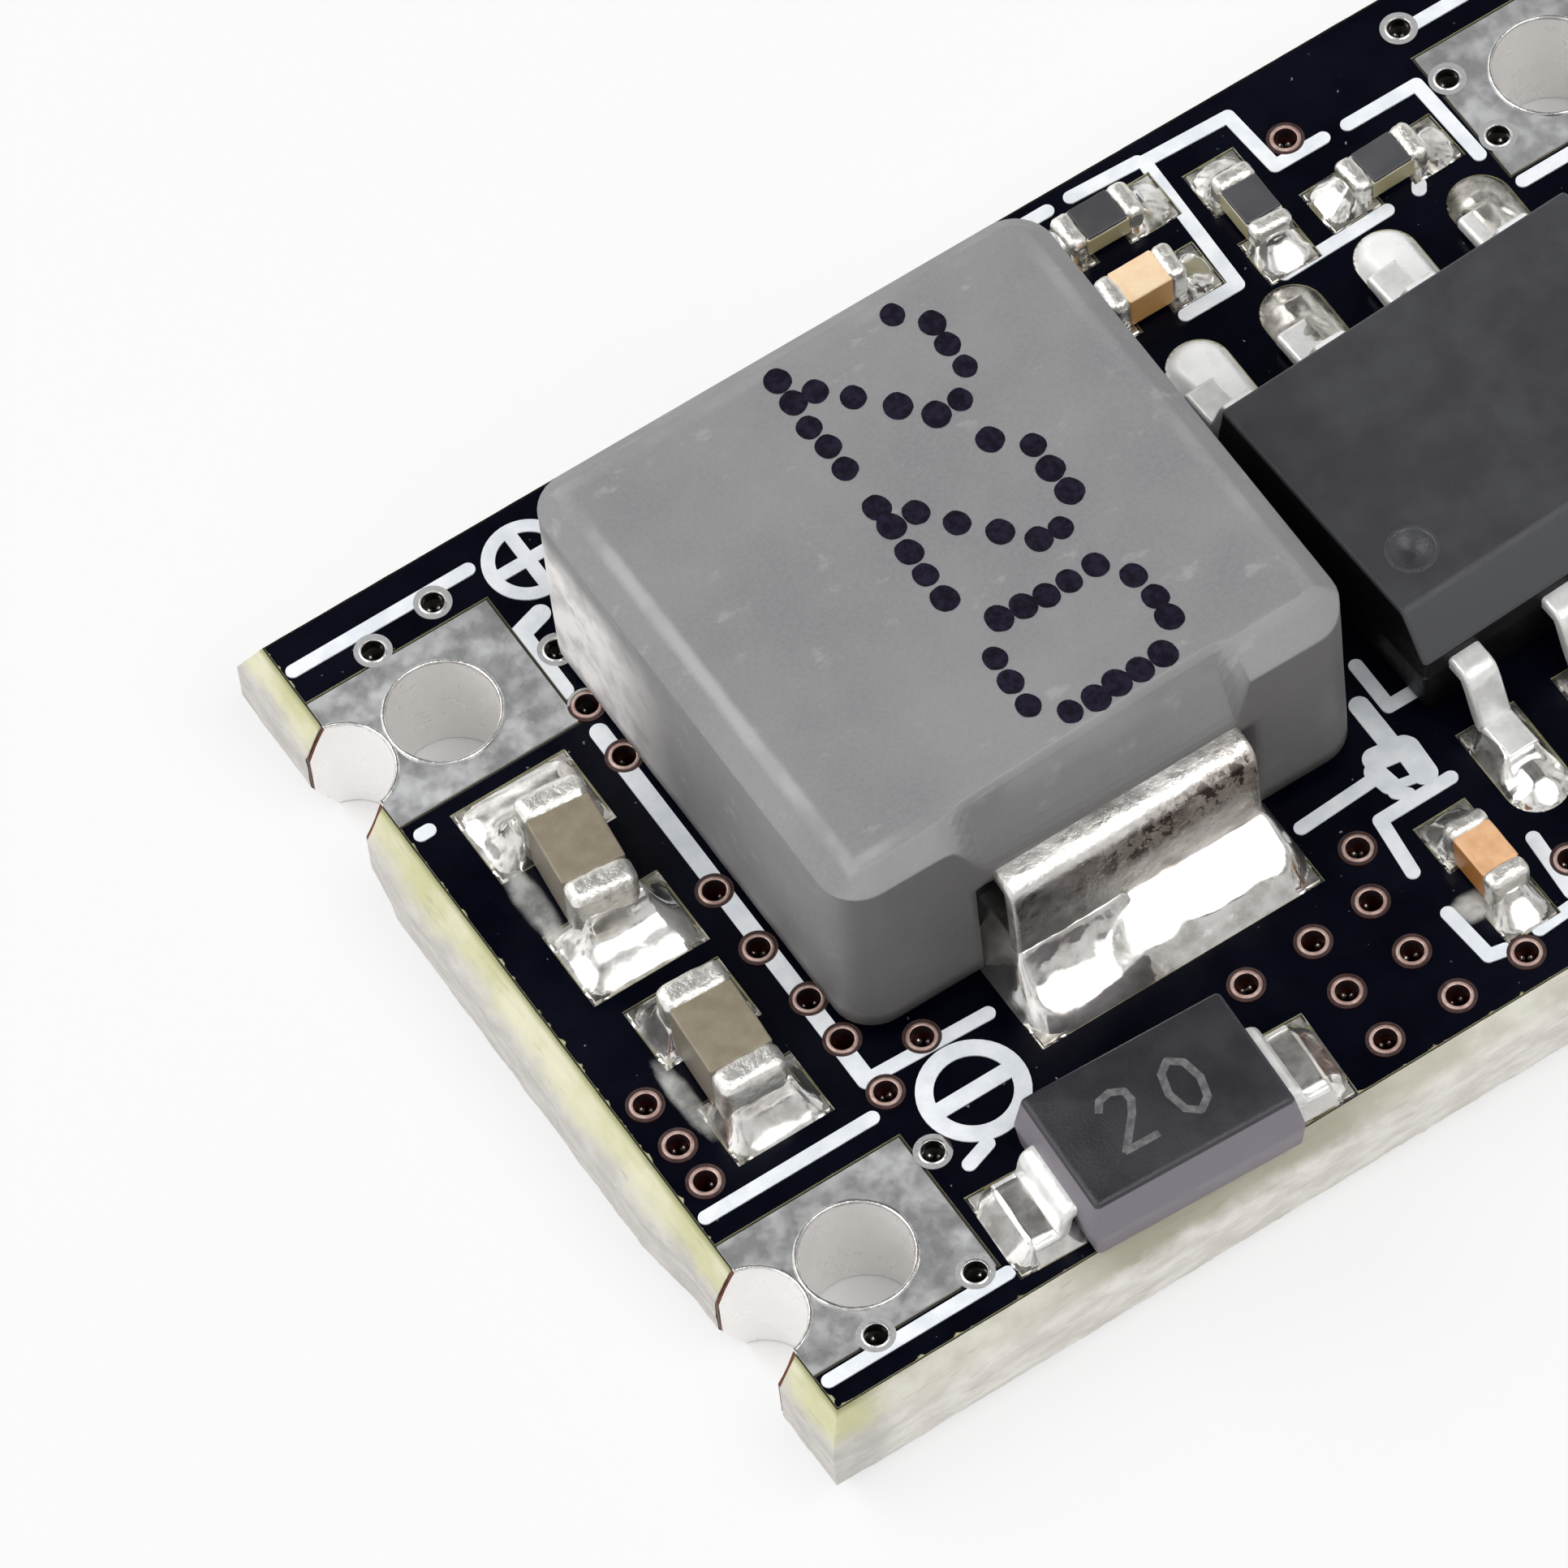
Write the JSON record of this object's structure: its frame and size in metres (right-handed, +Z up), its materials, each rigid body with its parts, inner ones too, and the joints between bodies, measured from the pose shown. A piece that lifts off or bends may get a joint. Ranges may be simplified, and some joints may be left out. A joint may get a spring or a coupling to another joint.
{
  "type": "buck converter module",
  "caption": "Small step-down converter board with a moulded power inductor, a regulator chip, a diode, chip capacitors and resistors, and plated corner terminals.",
  "frame": {"origin": "centre of the board's underside, on the plane of the bottom pads", "axes": "+X along the board from the output end to the input end, +Y across it from the diode's edge to the far edge, +Z up from the underside to the parts"},
  "size_m": [0.0176, 0.0122, 0.0046],
  "materials": {
    "laminate": "matte, fibrous at the snapped edges",
    "solder_mask": "gloss, near black with a blue cast",
    "legend": "matte print",
    "via_copper": "brown copper",
    "tinned_pad": "scuffed tin",
    "solder": "bright, uneven",
    "pressed_powder": "matte grey",
    "winding": "enamelled copper",
    "strap": "tinned, stained at the bend",
    "mould_compound": "satin, fine grain",
    "lead": "tinned",
    "silicon": "polished",
    "capacitor_ceramic": "satin",
    "small_capacitor_ceramic": "satin",
    "alumina": "satin",
    "resistor_coat": "gloss"
  },
  "bodies": {
    "root": {"laminate": "laminate", "solder_mask_top": "solder_mask", "solder_mask_bottom": "solder_mask", "legend_top": "legend", "via_barrels": "via_copper", "component_lands": "solder", "corner_terminal_out_plus": "tinned_pad", "corner_terminal_out_minus": "tinned_pad", "corner_terminal_in_plus": "tinned_pad", "corner_terminal_in_minus": "tinned_pad", "inductor_core": "pressed_powder", "inductor_coil": "winding", "inductor_terminal_near": "strap", "inductor_terminal_far": "strap", "regulator_body": "mould_compound", "regulator_leads_near": "lead", "regulator_leads_far": "lead", "regulator_paddle": "lead", "regulator_die": "silicon", "diode_body": "mould_compound", "diode_lead_left": "lead", "diode_lead_right": "lead", "diode_die": "silicon", "output_capacitor_1": "capacitor_ceramic", "output_capacitor_1_ends": "solder", "output_capacitor_2": "capacitor_ceramic", "output_capacitor_2_ends": "solder", "input_capacitor_1": "capacitor_ceramic", "input_capacitor_1_ends": "solder", "input_capacitor_2": "capacitor_ceramic", "input_capacitor_2_ends": "solder", "boost_capacitor": "small_capacitor_ceramic", "boost_capacitor_ends": "solder", "filter_capacitor": "small_capacitor_ceramic", "filter_capacitor_ends": "solder", "feedback_resistor_1": "alumina", "feedback_resistor_1_coat": "resistor_coat", "feedback_resistor_1_ends": "solder", "feedback_resistor_2": "alumina", "feedback_resistor_2_coat": "resistor_coat", "feedback_resistor_2_ends": "solder", "feedback_resistor_3": "alumina", "feedback_resistor_3_coat": "resistor_coat", "feedback_resistor_3_ends": "solder", "solder_inductor": "solder", "solder_regulator": "solder", "solder_diode": "solder", "solder_output_capacitors": "solder", "solder_input_capacitors": "solder", "solder_small_parts": "solder"}
  },
  "joints": []
}
